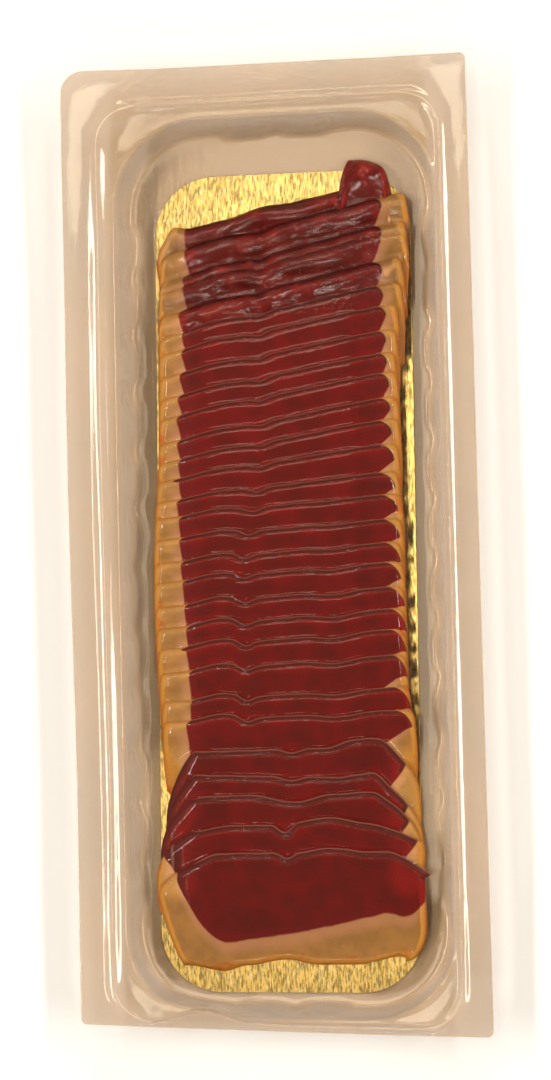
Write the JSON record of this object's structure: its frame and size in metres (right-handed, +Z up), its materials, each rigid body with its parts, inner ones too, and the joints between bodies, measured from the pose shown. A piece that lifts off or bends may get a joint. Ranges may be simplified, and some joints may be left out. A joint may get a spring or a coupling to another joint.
{
  "type": "vacuum pack of sliced smoked duck breast",
  "caption": "Shallow clear plastic tray with a gold card, overlapping slices of smoked duck breast and a clear film sealed over them.",
  "frame": {"origin": "on the underside of the tray floor, below the middle of the flange's outline", "axes": "+X across the pack, +Y along it to the end where the first slice lies, +Z up out of the tray"},
  "size_m": [0.1216, 0.2866, 0.015],
  "materials": {
    "plastic": "thin glossy formed plastic, slightly cloudy",
    "film": "thin clear glossy film",
    "gold": "brushed gold foil on card",
    "meat": "moist dark red smoked meat with a tan fat edge and a golden rind"
  },
  "bodies": {
    "root": {"tray": "plastic", "gold_card": "gold", "slice_01": "meat", "slice_02": "meat", "slice_03": "meat", "slice_04": "meat", "slice_05": "meat", "slice_06": "meat", "slice_07": "meat", "slice_08": "meat", "slice_09": "meat", "slice_10": "meat", "slice_11": "meat", "slice_12": "meat", "slice_13": "meat", "slice_14": "meat", "slice_15": "meat", "slice_16": "meat", "slice_17": "meat", "slice_18": "meat", "slice_19": "meat", "slice_20": "meat", "slice_21": "meat", "slice_22": "meat", "slice_23": "meat", "slice_24": "meat", "slice_25": "meat", "slice_26": "meat", "slice_27": "meat", "slice_28": "meat", "slice_29": "meat", "top_film": "film"}
  },
  "joints": []
}
